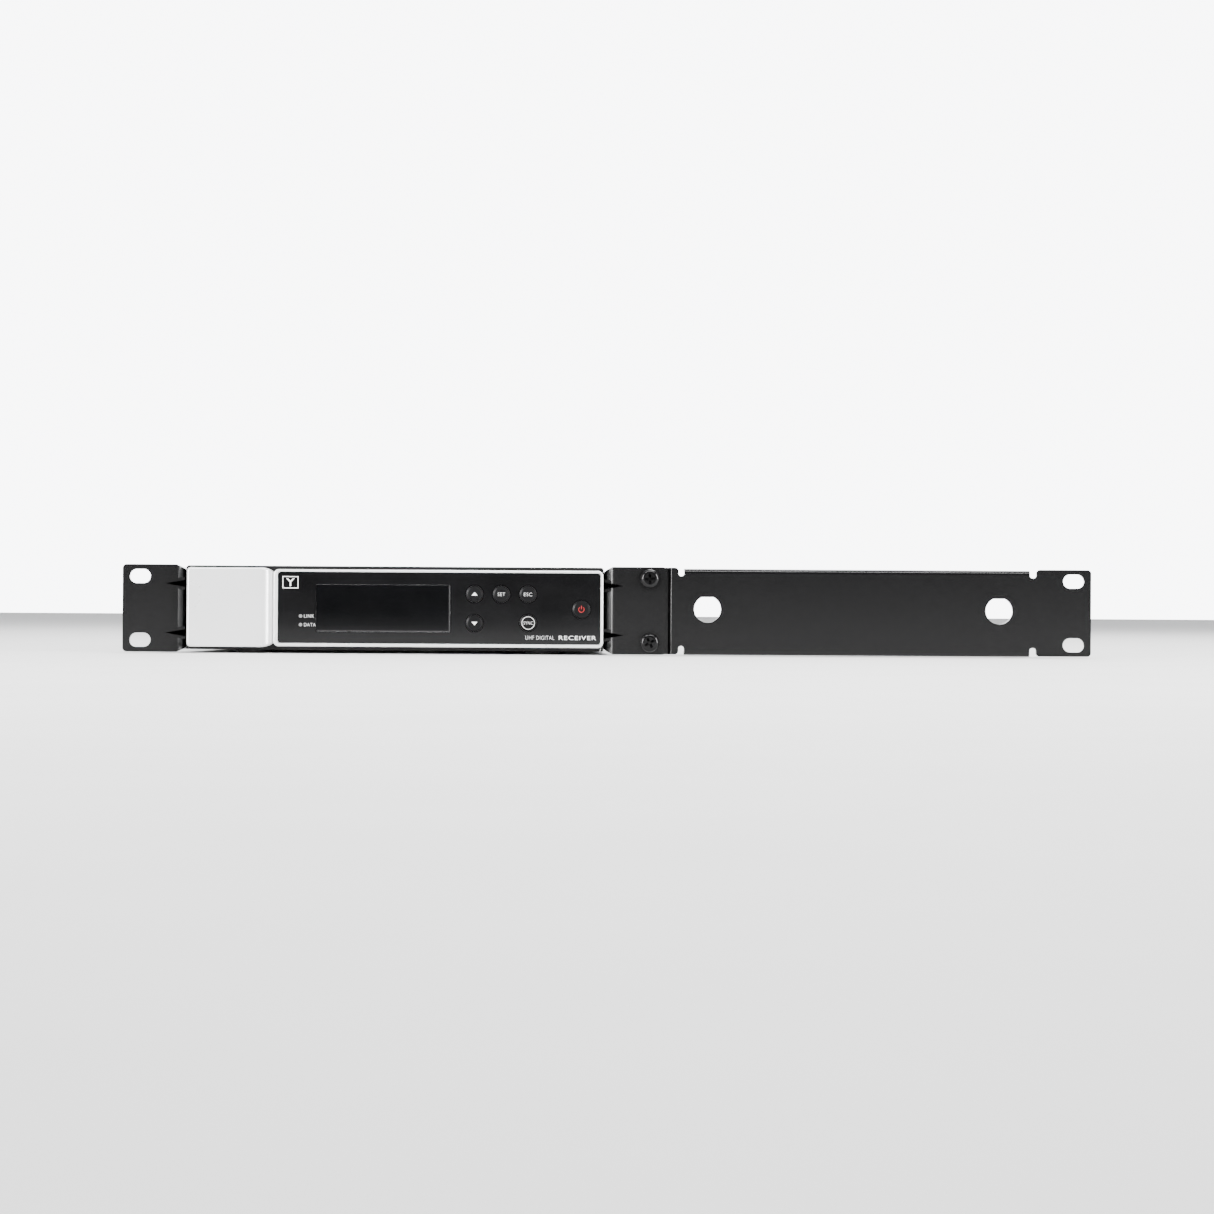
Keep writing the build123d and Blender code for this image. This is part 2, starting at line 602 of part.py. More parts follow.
def antenna_contacts():
    """Spring contact tubes, slit across their mouths."""
    contacts = []
    for x, z in ANTENNAS.values():
        pin = rod("y", (x, z), 1.1, (REAR_WALL_Y[0] - 9, REAR - 4.0))
        pin -= rod("y", (x, z), 0.68, (REAR - 9, REAR))
        contacts.append(pin - block(around(x, 0.15), (REAR - 8, REAR), around(z, 2)))
    return group(contacts)


def xlr_screw_places():
    x, z = XLR_AT
    return [(x - 9.5, z + 12.0), (x + 9.5, z - 12.0)]


def xlr_housing():
    """Moulded three-pole socket body: flange behind the wall and a round nose through it."""
    x, z = XLR_AT
    housing = rod("y", XLR_AT, 11.8, (66.0, REAR_WALL_Y[1] + 1.8))
    housing = fillet(housing.edges().sort_by(Axis.Y)[-1], 0.6)
    flange_y = (REAR_WALL_Y[0] - 2.2, REAR_WALL_Y[0] - 0.1)
    housing += plate(around(x, 13.0), flange_y, (9.8, 37.9), 2.5)
    housing -= rod("y", XLR_AT, XLR_CAVITY_RADIUS, (71.0, REAR_WALL_Y[1] + 3))
    housing -= block(around(x, 1.2), (73.0, REAR_WALL_Y[1] + 3), (z + 8, z + 10.4))
    housing -= rod("y", XLR_AT, 8.0, (65.0, 72.0))
    for place in xlr_screw_places():
        housing -= rod("y", place, 1.25, (flange_y[0] - 1, flange_y[1] + 1))
    return housing


def xlr_insert():
    """Disc that holds the pins, seated in the housing's rear bore."""
    x, z = XLR_AT
    disc = rod("y", XLR_AT, 7.9, (66.0, 71.0))
    for place in xlr_pin_places():
        disc -= rod("y", place, 1.25, (60, 80))
    return disc


def xlr_pin_places():
    x, z = XLR_AT
    return [(x - 4.0, z + 3.0), (x + 4.0, z + 3.0), (x, z - 4.6)]


def xlr_pins():
    pins = []
    for place in xlr_pin_places():
        pin = rod("y", place, 1.2, (62.0, 81.5))
        pins.append(fillet(pin.edges().sort_by(Axis.Y)[-1], 0.9))
    return group(pins)


def xlr_screws():
    screw = pan_screw(1.2, 5.0, 2.5, 1.6)
    return group(toward((x, REAR_WALL_Y[1], z), (0, 1, 0)) * screw for x, z in xlr_screw_places())


def jack_socket():
    """Quarter-inch jack body on the main board, with a threaded nose through the wall."""
    x, z = JACK_AT
    body = block(around(x, 8.0), (52.0, REAR_WALL_Y[0] - 0.2), (BOARD_TOP, z + 10.0))
    body = fillet(body.edges().filter_by(Axis.Y), 0.8)
    body += rod("y", JACK_AT, 6.0, (REAR_WALL_Y[0] - 1, REAR_WALL_Y[1] + 5.0))
    body = chamfer(body.faces().sort_by(Axis.Y)[-1].edges(), 0.4)
    return body - rod("y", JACK_AT, JACK_BORE_RADIUS, (55.0, REAR_WALL_Y[1] + 6))


def jack_nut():
    """Ring nut and flat washer on the jack's nose."""
    x, z = JACK_AT
    wall = REAR_WALL_Y[1]
    washer = Pos(0, 0, 0.4) * (Cylinder(8.4, 0.8) - Cylinder(6.05, 3))
    nut = hex_nut(14.0, 2.4, 6.05)
    facing = toward((x, wall, z), (0, 1, 0))
    return group([facing * washer, facing * Pos(0, 0, 0.8) * nut])


def dc_socket():
    """Barrel power socket, flush with the rear wall."""
    x, z = DC_AT
    body = block(around(x, 4.6), (67.5, REAR_WALL_Y[1] + 0.3), (BOARD_TOP + 0.1, z + 5.7))
    body = fillet(body.faces().sort_by(Axis.Y)[-1].edges(), 0.3)
    return body - rod("y", DC_AT, 3.15, (72.5, REAR_WALL_Y[1] + 2))


def dc_pin():
    pin = rod("y", DC_AT, 1.0, (72.5, REAR_WALL_Y[1] - 1.0))
    return fillet(pin.edges().sort_by(Axis.Y)[-1], 0.7)


def cable_hook():
    """Snap-in hook that keeps the supply lead from pulling out."""
    x, z = HOOK_AT
    wall = REAR_WALL_Y[1]
    hook = plate(around(x, 5.0), (wall, wall + 1.4), around(z, 5.0), 1.0)
    hook += block(around(x, 3.0), (REAR_WALL_Y[0] - 2, wall + 0.5), around(z, 1.5))
    hook += block(around(x, 2.5), (wall + 1.0, wall + 7.8), (z - 5.0, z - 3.0))
    hook += block(around(x, 2.5), (wall + 6.0, wall + 7.8), (z - 5.0, z + 4.0))
    hook += block(around(x, 2.5), (wall + 5.5, wall + 7.8), (z + 2.8, z + 4.0))
    return hook


def type_plate():
    """Blank foil label on the rear wall."""
    return plate(PLATE_X, (REAR_WALL_Y[1], REAR_WALL_Y[1] + 0.2), PLATE_Z, 1.0)


# ---- Rack kit ----
def dart(reach, ridge):
    """A wedge along the left bracket's bend at 45 degrees; its ridge runs `reach` in from the corner."""
    depth = reach + 4.0
    across = Plane(
        origin=(HOUSING_X[0] - reach - 2, EAR_FRONT - 2, 0), x_dir=(1, -1, 0), z_dir=(1, 1, 0)
    )
    widest = ridge + depth * DART_SLOPE
    outline = [(0, -ridge), (depth, -widest), (depth, widest), (0, ridge)]
    return prism(across, outline, reach * 2**0.5 + 6)


def bend_inside():
    """The corner of the left bracket where the backs of its darts may stand."""
    corner_x = HOUSING_X[0]
    reach = 14.0
    corner = [
        (corner_x - reach, EAR_FRONT + 0.5), (corner_x - 0.5, EAR_FRONT + 0.5),
        (corner_x - 0.5, EAR_FRONT + reach),
    ]
    return prism(Plane.XY, corner, TOTAL_HEIGHT)


def rack_ear():
    """Left bracket: slotted flange, rounded bend with two pressed darts, and a leg along the side."""
    leg_end = EAR_FRONT + LEG_LENGTH
    corner_x = HOUSING_X[0]
    flange = block((EAR_X, corner_x), (EAR_FRONT, EAR_FRONT + SHEET), EAR_Z)
    leg = block((corner_x - SHEET, corner_x), (EAR_FRONT, leg_end), EAR_Z)
    ear = flange + leg
    outer_bend = edges_by(ear, Axis.Z, [(corner_x, EAR_FRONT, RACK_Z)])
    ear = fillet(outer_bend, BEND_RADIUS)
    inner_bend = edges_by(ear, Axis.Z, [(corner_x - SHEET, EAR_FRONT + SHEET, RACK_Z)])
    ear = fillet(inner_bend, BEND_RADIUS - SHEET)
    for z, way in ((EAR_Z[0], 1), (EAR_Z[1], -1)):
        taper = [
            (corner_x - 4.6, z - way), (corner_x - 4.6, z), (corner_x - 1.7, z + way * 1.45),
            (corner_x, z + way * 2.7), (corner_x + 1, z + way * 2.7), (corner_x + 1, z - way),
        ]
        side = Plane(origin=(0, leg_end + 1, 0), x_dir=(1, 0, 0), z_dir=(0, -1, 0))
        ear -= prism(side, taper, LEG_LENGTH + 2)
    for z in (RACK_Z - DART_OFFSET, RACK_Z + DART_OFFSET):
        ear += (Pos(0, 0, z) * dart(DART_REACH + 2.5, 0.9)) & bend_inside()
        ear -= Pos(0, 0, z) * dart(DART_REACH, 0.0)
    for z in (RACK_Z - SLOT_PITCH_Z / 2, RACK_Z + SLOT_PITCH_Z / 2):
        ear -= slot_cutter(-SLOT_X, z, SLOT_LENGTH, SLOT_WIDTH, (EAR_FRONT, EAR_FRONT + SHEET))
    corners = [(EAR_X, EAR_FRONT + 1, z) for z in EAR_Z]
    ear = fillet(edges_by(ear, Axis.Y, corners), 2.0)
    for y, z in EAR_SCREWS:
        ear -= rod("x", (y, z), 2.1, (corner_x - SHEET - 1, corner_x + 1))
        ear -= Pos(corner_x - SHEET + 0.9, y, z) * Rot(0, -90, 0) * Cone(2.1, 3.9, 1.8)
    return ear


def ear_screws():
    screw = countersunk_screw(2.0, 7.5, 3.75)
    faces = ((HOUSING_X[0] - SHEET, -1), (HOUSING_X[1] + SHEET, 1))
    return group(
        toward((x, y, z), (way, 0, 0)) * screw for x, way in faces for y, z in EAR_SCREWS
    )


def blanking_panel():
    """Panel for the empty half: joggled tab, folded channel, two antenna holes and a slotted end."""
    face_y = (EAR_FRONT, EAR_FRONT + SHEET)
    tab_y = (face_y[1] + 0.1, face_y[1] + 0.1 + SHEET)
    step_x = (BRACKET_END_X + 0.9, BRACKET_END_X + 2.2)
    outline = [
        (12.0, tab_y[0]), (step_x[0], tab_y[0]), (step_x[1], face_y[0]), (RACK_WIDTH / 2, face_y[0]),
        (RACK_WIDTH / 2, face_y[1]), (step_x[1] + 0.6, face_y[1]), (step_x[0] + 0.6, tab_y[1]),
        (12.0, tab_y[1]),
    ]
    panel = prism(Plane.XY.offset(BLANK_Z[0]), outline, BLANK_Z[1] - BLANK_Z[0])
    panel = fillet(edges_by(panel, Axis.Z, [(step_x[1], face_y[0], RACK_Z)]), 1.2)
    for low, high in ((0, CHANNEL_Z[0]), (CHANNEL_Z[1], TOTAL_HEIGHT + 1)):
        panel -= block(CHANNEL_X, (FRONT, 0), (low, high))
    channel_y = (face_y[0], face_y[0] + CHANNEL_DEPTH)
    channel = block(CHANNEL_X, channel_y, CHANNEL_Z)
    folds = edges_by(channel, Axis.X, [(125, face_y[0], CHANNEL_Z[0]), (125, face_y[0], CHANNEL_Z[1])])
    channel = fillet(folds, 2.2)
    hollow = (CHANNEL_Z[0] + SHEET, CHANNEL_Z[1] - SHEET)
    inner = block((CHANNEL_X[0] - 1, CHANNEL_X[1] + 1), (face_y[1], channel_y[1] + 1), hollow)
    channel -= inner
    panel -= block(CHANNEL_X, (face_y[0] - 1, face_y[1] + 1), (0, TOTAL_HEIGHT + 1))
    panel += channel
    for x in NOTCHES_X:
        for z in BLANK_Z:
            panel -= plate(x, (face_y[0] - 1, channel_y[1] + 1), around(z, 4.2), 1.35)
    for x in ANTENNA_HOLES:
        hole = rod("y", (x, ANTENNA_HOLE_Z), ANTENNA_HOLE_RADIUS, (FRONT, face_y[1] + 1))
        top = ANTENNA_HOLE_Z + ANTENNA_HOLE_FLAT
        panel -= hole & block(around(x, 10), (FRONT, 0), (ANTENNA_HOLE_Z - 10, top))
    for z in (RACK_Z - SLOT_PITCH_Z / 2, RACK_Z + SLOT_PITCH_Z / 2):
        panel -= slot_cutter(SLOT_X, z, SLOT_LENGTH, SLOT_WIDTH, face_y)
        panel -= rod("y", (BRIDGE_BOLT_X, z), 2.7, (FRONT, 0))
    corner_x = (12.0, NOTCHES_X[0][0], NOTCHES_X[1][1], RACK_WIDTH / 2)
    corners = [(x, face_y[0] + 1, z) for x in corner_x for z in BLANK_Z]
    return fillet(edges_by(panel, Axis.Y, corners), 1.8)


def bridge_places():
    return [(BRIDGE_BOLT_X, RACK_Z + way * SLOT_PITCH_Z / 2) for way in (-1, 1)]


def bridge_screws():
    screw = pan_screw(2.5, 12.0, 4.75, 3.4)
    head = EAR_FRONT - 1.0
    return group(
        toward((x, head, z), (0, -1, 0)) * Rot(0, 0, turn) * screw
        for (x, z), turn in zip(bridge_places(), (28, 4))
    )


def bridge_washers():
    washer = Pos(0, 0, 0.5) * (Cylinder(WASHER_RADIUS, 1.0) - Cylinder(2.65, 3))
    return group(toward((x, EAR_FRONT, z), (0, -1, 0)) * washer for x, z in bridge_places())


def bridge_nuts():
    nut = hex_nut(8.0, 4.0, 2.55)
    back = EAR_FRONT + 2 * SHEET + 0.1
    return group(toward((x, back, z), (0, 1, 0)) * nut for x, z in bridge_places())


def all_nodes():
    left_ear = rack_ear()
    nodes = {
        "front_frame": front_frame(),
        "fascia_panel": fascia_panel(),
        "display_window": display_window(),
        "display_panel": display_panel(),
        "display_holder": display_holder(),
        "status_leds": status_leds(),
        "control_board": control_board(),
        "control_board_screws": control_board_screws(),
        "frame_screws": frame_screws(),
        "base_tray": base_tray(),
        "top_cover": top_cover(),
        "cover_screws": cover_screws(),
        "ear_nuts": ear_nuts(),
        "main_board": main_board(),
        "board_standoffs": board_standoffs(),
        "board_screws": board_screws(),
        "tuner_shield_1": shield_can((-50.0, -10.5), (30.0, 64.0), 8.0),
        "tuner_shield_2": shield_can((-202.0, -172.0), (30.0, 64.0), 8.0),
        "processor_shield": shield_can((-64.0, -24.0), (-50.0, -8.0), 5.0),
        "board_chips": board_chips(),
        "filter_capacitors": filter_capacitors(),
        "power_inductors": power_inductors(),
        "ribbon_connectors": ribbon_connectors(),
        "ribbon_cable": ribbon_cable(),
        "antenna_nuts": antenna_nuts(),
        "antenna_insulators": antenna_insulators(),
        "antenna_contacts": antenna_contacts(),
        "xlr_housing": xlr_housing(),
        "xlr_insert": xlr_insert(),
        "xlr_pins": xlr_pins(),
        "xlr_screws": xlr_screws(),
        "jack_socket": jack_socket(),
        "jack_nut": jack_nut(),
        "dc_socket": dc_socket(),
        "dc_pin": dc_pin(),
        "cable_hook": cable_hook(),
        "type_plate": type_plate(),
        "rack_ear_left": left_ear,
        "rack_ear_right": mirror(left_ear, about=Plane.YZ.offset(HOUSING_MID_X)),
        "ear_screws": ear_screws(),
        "blanking_panel": blanking_panel(),
        "bridge_screws": bridge_screws(),
        "bridge_washers": bridge_washers(),
        "bridge_nuts": bridge_nuts(),
    }
    nodes["tact_switches"] = group(tact_switch(place) for place in BUTTONS.values())
    for name, place in BUTTONS.items():
        nodes[f"{name}_button"] = button_cap(name, place)
    for name, place in STATUS_LIGHTS.items():
        nodes[f"{name}_light_pipe"] = light_pipe(place)
    for number, place in ANTENNAS.items():
        nodes[f"antenna_socket_{number}"] = antenna_socket(place)
    corners = ("front_left", "rear_left", "front_right", "rear_right")
    for corner, place in zip(corners, FEET):
        nodes[f"foot_{corner}"] = foot(place)
    return nodes


def main():
    os.makedirs("parts", exist_ok=True)
    for name, shape in all_nodes().items():
        export_step(shape, f"parts/{name}.step")


main()
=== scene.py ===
import json
import math

import bmesh
import bpy
from mathutils import Matrix, Vector


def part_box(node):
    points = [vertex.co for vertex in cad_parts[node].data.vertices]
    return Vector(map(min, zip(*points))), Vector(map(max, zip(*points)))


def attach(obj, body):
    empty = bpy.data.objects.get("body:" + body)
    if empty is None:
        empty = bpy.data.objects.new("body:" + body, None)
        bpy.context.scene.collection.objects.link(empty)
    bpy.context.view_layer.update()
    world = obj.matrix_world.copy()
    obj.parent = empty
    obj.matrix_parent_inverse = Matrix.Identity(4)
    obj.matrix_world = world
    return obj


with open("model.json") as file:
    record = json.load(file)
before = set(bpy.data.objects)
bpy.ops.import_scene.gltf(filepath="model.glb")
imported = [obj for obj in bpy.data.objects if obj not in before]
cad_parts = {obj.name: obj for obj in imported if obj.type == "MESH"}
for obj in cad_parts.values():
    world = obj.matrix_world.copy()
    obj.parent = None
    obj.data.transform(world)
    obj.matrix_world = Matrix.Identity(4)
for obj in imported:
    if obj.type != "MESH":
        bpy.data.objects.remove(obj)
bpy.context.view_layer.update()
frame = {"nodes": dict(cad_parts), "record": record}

NODES = frame["nodes"]
MM = 0.001
CHASSIS = "chassis"


# ---- Materials ----
class Finish:
    """A Principled material whose colour, roughness and relief vary by the object's own coordinates."""

    def __init__(self, name, colour, rough, metal=0.0, **sockets):
        self.material = bpy.data.materials.new(name)
        self.material.use_nodes = True
        self.tree = self.material.node_tree
        self.shader = self.tree.nodes["Principled BSDF"]
        self.colour = colour
        self.rough = rough
        self.set("Base Color", (*colour, 1.0))
        self.set("Roughness", rough)
        self.set("Metallic", metal)
        for socket, value in sockets.items():
            self.set(socket.replace("_", " "), value)
        self.place = self.node("ShaderNodeTexCoord").outputs["Object"]
        self.normal = None

    def set(self, socket, value):
        self.shader.inputs[socket].default_value = value

    def node(self, kind, **values):
        node = self.tree.nodes.new(kind)
        for key, value in values.items():
            setattr(node, key, value)
        return node

    def link(self, source, target):
        self.tree.links.new(source, target)

    def noise(self, size, detail=2.0, stretch=(1, 1, 1)):
        """Noise whose features are `size` metres across, drawn out along an axis by `stretch`."""
        scaled = self.node("ShaderNodeMapping")
        scaled.inputs["Scale"].default_value = [1.0 / (size * s) for s in stretch]
        self.link(self.place, scaled.inputs["Vector"])
        noise = self.node("ShaderNodeTexNoise")
        noise.inputs["Scale"].default_value = 1.0
        noise.inputs["Detail"].default_value = detail
        self.link(scaled.outputs["Vector"], noise.inputs["Vector"])
        return noise.outputs["Fac"]

    def cells(self, size):
        """Voronoi cells `size` metres across: the distance from each cell's middle."""
        cells = self.node("ShaderNodeTexVoronoi")
        cells.inputs["Scale"].default_value = 1.0 / size
        self.link(self.place, cells.inputs["Vector"])
        return cells.outputs["Distance"]

    def remap(self, value, low, high, start=0.35, end=0.65):
        """The value's span from `start` to `end`, spread from `low` to `high`."""
        remap = self.node("ShaderNodeMapRange")
        remap.inputs["From Min"].default_value = start
        remap.inputs["From Max"].default_value = end
        remap.inputs["To Min"].default_value = low
        remap.inputs["To Max"].default_value = high
        self.link(value, remap.inputs["Value"])
        return remap.outputs["Result"]

    def mix(self, factor, first, second):
        """A colour between two others, which are triples or sockets."""
        mix = self.node("ShaderNodeMix", data_type="RGBA")
        for socket, value in ((mix.inputs[6], first), (mix.inputs[7], second)):
            if isinstance(value, tuple):
                socket.default_value = (*value, 1.0)
            else:
                self.link(value, socket)
        self.link(factor, mix.inputs[0])
        return mix.outputs[2]

    def mottled(self, size, amount, detail=3.0, stretch=(1, 1, 1)):
        """Lighter and darker patches about the base colour."""
        dark = tuple(max(0.0, c * (1 - amount)) for c in self.colour)
        light = tuple(min(1.0, c * (1 + amount)) for c in self.colour)
        factor = self.remap(self.noise(size, detail, stretch), 0.0, 1.0)
        self.link(self.mix(factor, dark, light), self.shader.inputs["Base Color"])
        return self

    def smudged(self, size, amount, stretch=(1, 1, 1)):
        """Patches of higher and lower roughness."""
        low = max(0.02, self.rough - amount)
        value = self.remap(self.noise(size, 4.0, stretch), low, self.rough + amount, 0.2, 0.8)
        self.link(value, self.shader.inputs["Roughness"])
        return self

    def relief(self, value, depth):
        """A bump `depth` metres high, laid over the ones before it."""
        bump = self.node("ShaderNodeBump")
        bump.inputs["Distance"].default_value = depth
        bump.inputs["Strength"].default_value = 1.0
        self.link(value, bump.inputs["Height"])
        if self.normal is not None:
            self.link(self.normal, bump.inputs["Normal"])
        self.normal = bump.outputs["Normal"]
        self.link(self.normal, self.shader.inputs["Normal"])
        return self


def powder_coat(name, colour, rough, shine):
    """Fine textured black coat on sheet metal."""
    finish = Finish(name, colour, rough, Specular_IOR_Level=shine)
    finish.mottled(0.9 * MM, 0.10).smudged(30 * MM, 0.02)
    finish.relief(finish.noise(1.1 * MM), 0.006 * MM)
    return finish.relief(finish.noise(0.32 * MM), 0.008 * MM)


def brushed(name, colour, rough, along=(12, 1, 1)):
    """Bare metal with a grain drawn out by `along`."""
    finish = Finish(name, colour, rough, metal=1.0)
    finish.mottled(0.6 * MM, 0.08, stretch=along).smudged(0.4 * MM, 0.08, stretch=along)
    return finish.relief(finish.noise(0.12 * MM, stretch=along), 0.004 * MM)


def moulded(name, colour, rough, grain=0.25, depth=0.006, **sockets):
    """Moulded plastic with a spark-eroded grain, its size and depth in millimetres."""
    finish = Finish(name, colour, rough, **sockets)
    finish.mottled(6 * MM, 0.08).smudged(3 * MM, 0.05)
    return finish.relief(finish.noise(grain * MM), depth * MM)


def plated(name, colour, rough):
    """Smooth plated metal with soft handling marks."""
    finish = Finish(name, colour, rough, metal=1.0)
    finish.mottled(2.5 * MM, 0.05).smudged(1.2 * MM, 0.06)
    return finish.relief(finish.noise(0.5 * MM), 0.003 * MM)


def black_oxide(name, rough):
    """Black plated steel: dark, with sharp glints."""
    finish = Finish(name, (0.0025, 0.0025, 0.0027), rough, Specular_IOR_Level=0.25)
    finish.mottled(1.5 * MM, 0.15).smudged(1.0 * MM, 0.05)
    return finish.relief(finish.noise(0.5 * MM), 0.004 * MM)


def silver_lacquer():
    """Satin silver over the casting: fine flakes, a faint orange peel and soft handling marks."""
    finish = Finish(
        "silver_lacquer", (0.80, 0.805, 0.81), 0.30, metal=0.45, Coat_Weight=0.6, Coat_Roughness=0.10
    )
    finish.mottled(0.10 * MM, 0.045, detail=1.0).smudged(18 * MM, 0.05)
    finish.relief(finish.noise(2.2 * MM), 0.006 * MM)
    return finish.relief(finish.cells(0.09 * MM), 0.0012 * MM)


def gloss_black():
    """High gloss moulding with hairline marks from cleaning."""
    finish = Finish(
        "gloss_black", (0.003, 0.003, 0.0033), 0.10, Specular_IOR_Level=0.16, Coat_Weight=0.20,
        Coat_Roughness=0.03,
    )
    finish.mottled(25 * MM, 0.2).smudged(9 * MM, 0.035, stretch=(3, 1, 1))
    return finish.relief(finish.noise(7 * MM), 0.004 * MM)


def window_glass():
    """Tinted window, darker and glossier than the panel around it."""
    finish = Finish(
        "window_glass", (0.0016, 0.0017, 0.0020), 0.06, Specular_IOR_Level=0.14, Coat_Weight=0.16,
        Coat_Roughness=0.02,
    )
    finish.mottled(30 * MM, 0.3).smudged(12 * MM, 0.02)
    return finish.relief(finish.noise(11 * MM), 0.003 * MM)


def circuit_board():
    """Green solder mask over a copper pattern that shows as a faint relief."""
    finish = Finish("circuit_board", (0.012, 0.11, 0.045), 0.38, Coat_Weight=0.4, Coat_Roughness=0.2)
    copper = finish.remap(finish.noise(1.6 * MM, detail=0.0, stretch=(6, 1, 1)), 0.0, 1.0, 0.49, 0.51)
    mask = finish.mix(copper, (0.010, 0.085, 0.035), (0.016, 0.15, 0.06))
    finish.link(mask, finish.shader.inputs["Base Color"])
    finish.smudged(5 * MM, 0.05)
    return finish.relief(copper, 0.03 * MM)


def ferrite():
    """Pressed and fired powder, matt and pitted."""
    finish = Finish("ferrite", (0.045, 0.045, 0.047), 0.62)
    finish.mottled(0.2 * MM, 0.35).smudged(1 * MM, 0.08)
    return finish.relief(finish.cells(0.22 * MM), 0.02 * MM)


def flat_cable():
    """White flat cable: its conductors show as faint stripes along it."""
    finish = Finish("flat_cable", (0.72, 0.73, 0.72), 0.42)
    stripe = finish.node("ShaderNodeTexWave", bands_direction="X")
    stripe.inputs["Scale"].default_value = 1.0 / (3.2 * MM)
    finish.link(finish.place, stripe.inputs["Vector"])
    strands = finish.mix(stripe.outputs["Fac"], (0.60, 0.60, 0.58), (0.78, 0.79, 0.78))
    finish.link(strands, finish.shader.inputs["Base Color"])
    finish.smudged(6 * MM, 0.05)
    return finish.relief(stripe.outputs["Fac"], 0.03 * MM)


def foot_rubber():
    """Matt black rubber."""
    finish = Finish("foot_rubber", (0.018, 0.018, 0.018), 0.78, Specular_IOR_Level=0.3)
    finish.mottled(0.7 * MM, 0.3).smudged(2 * MM, 0.06)
    return finish.relief(finish.noise(0.3 * MM, detail=4.0), 0.03 * MM)


def frosted_pipe():
    """Unlit end of a frosted light pipe."""
    finish = Finish("frosted_pipe", (0.16, 0.16, 0.16), 0.30, Coat_Weight=0.5, Coat_Roughness=0.1)
    finish.mottled(0.5 * MM, 0.18).smudged(0.6 * MM, 0.08)
    return finish.relief(finish.noise(0.3 * MM), 0.01 * MM)


def printed(name, colour, **sockets):
    """Screen-printed ink, slightly uneven."""
    finish = Finish(name, colour, 0.45, **sockets)
    finish.mottled(0.25 * MM, 0.06).smudged(0.8 * MM, 0.06)
    return finish.relief(finish.noise(0.12 * MM), 0.002 * MM)


FINISHES = {
    "tray": powder_coat("tray_coat", (0.0050, 0.0050, 0.0052), 0.36, 0.20),
    "cover": powder_coat("cover_coat", (0.0060, 0.0060, 0.0062), 0.32, 0.20),
    "kit_sheet": powder_coat("kit_coat", (0.0025, 0.0025, 0.0027), 0.18, 0.30),
    "frame_silver": silver_lacquer(),
    "fascia_black": gloss_black(),
    "window": window_glass(),
    "display": moulded("display_face", (0.010, 0.011, 0.013), 0.12, grain=2.0, depth=0.002),
    "holder": moulded("holder_plastic", (0.030, 0.030, 0.031), 0.5),
    "led": moulded("led_package", (0.72, 0.70, 0.60), 0.25),
    "light_pipe": frosted_pipe(),
    "board": circuit_board(),
    "screw_zinc": brushed("zinc_steel", (0.55, 0.56, 0.58), 0.34, along=(2, 2, 1)),
    "screw_black": black_oxide("black_screw", 0.26),
    "bolt_black": black_oxide("black_bolt", 0.16),
    "tinplate": brushed("tinplate", (0.66, 0.67, 0.68), 0.32),
    "chip": moulded("chip_epoxy", (0.020, 0.020, 0.021), 0.55, grain=0.15, depth=0.008),
    "capacitor": moulded("capacitor_sleeve", (0.012, 0.014, 0.035), 0.28, grain=3.0, depth=0.01),
    "inductor": ferrite(),
    "connector": moulded("natural_nylon", (0.62, 0.58, 0.46), 0.48),
    "ribbon": flat_cable(),
    "nickel": plated("nickel_plate", (0.66, 0.64, 0.60), 0.20),
    "ptfe": moulded("white_ptfe", (0.80, 0.80, 0.78), 0.42),
    "gold": plated("gold_flash", (0.83, 0.60, 0.24), 0.22),
    "connector_black": moulded("socket_plastic", (0.018, 0.018, 0.019), 0.44),
    "button": moulded(
        "key_plastic", (0.0045, 0.0045, 0.0048), 0.30, grain=0.18, depth=0.002, Specular_IOR_Level=0.10
    ),
    "switch": moulded("switch_plastic", (0.05, 0.05, 0.052), 0.5),
    "rubber_foot": foot_rubber(),
    "label_foil": brushed("label_foil", (0.30, 0.30, 0.31), 0.40),
}
PRINT_WHITE = printed("print_white", (0.80, 0.80, 0.79)).material
PRINT_SOFT = printed("print_soft_white", (0.50, 0.50, 0.50)).material
# Red standby print with a faint painted glow: the emission makes the ink glow, though the printed symbol
# is no lamp.
STANDBY_RED_PAINTED_GLOW = printed(
    "standby_red_painted_glow", (0.34, 0.010, 0.010), Emission_Color=(1.0, 0.02, 0.015, 1.0), Emission_Strength=0.08
).material

SLOT_OF = {entry["node"]: entry["material_slot"] for entry in frame["record"]["subparts"]}
for name, obj in NODES.items():
    obj.data.materials.clear()
    obj.data.materials.append(FINISHES[SLOT_OF[name]].material)


# ---- Printed marks: thin raised prints, built flat and then given their thickness ----
PRINT_DEPTH = 0.03 * MM
PRINT_SINK = 0.01 * MM
LETTER_WEIGHT = -0.006
LETTER_SPACING = 1.12


def centre(node):
    """The middle of a node's box."""
    low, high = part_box(node)
    return (Vector(low) + Vector(high)) / 2


def prism_from(name, bm, at, y, material, body, rear=False):
    """Stands a flat outline, drawn in metres, on the front or rear surface at y, and thickens it."""
    bmesh.ops.remove_doubles(bm, verts=bm.verts, dist=1e-7)
    faces = list(bm.faces)
    grown = bmesh.ops.extrude_face_region(bm, geom=faces)
    tops = {v for v in grown["geom"] if isinstance(v, bmesh.types.BMVert)}
    out = 1 if rear else -1
    for vert in bm.verts:
        flat_x, flat_y = vert.co.x, vert.co.y
        lift = PRINT_DEPTH if vert in tops else -PRINT_SINK
        vert.co = (at[0] - out * flat_x, y + out * lift, at[1] + flat_y)
    bmesh.ops.recalc_face_normals(bm, faces=bm.faces)
    mesh = bpy.data.meshes.new(name)
    bm.to_mesh(mesh)
    bm.free()
    mesh.materials.append(material)
    obj = bpy.data.objects.new(name, mesh)
    bpy.context.scene.collection.objects.link(obj)
    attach(obj, body)


def outline(polygons):
    """A flat bmesh from polygons given in millimetres."""
    bm = bmesh.new()
    for polygon in polygons:
        bm.faces.new([bm.verts.new((x * MM, y * MM, 0)) for x, y in polygon])
    return bm


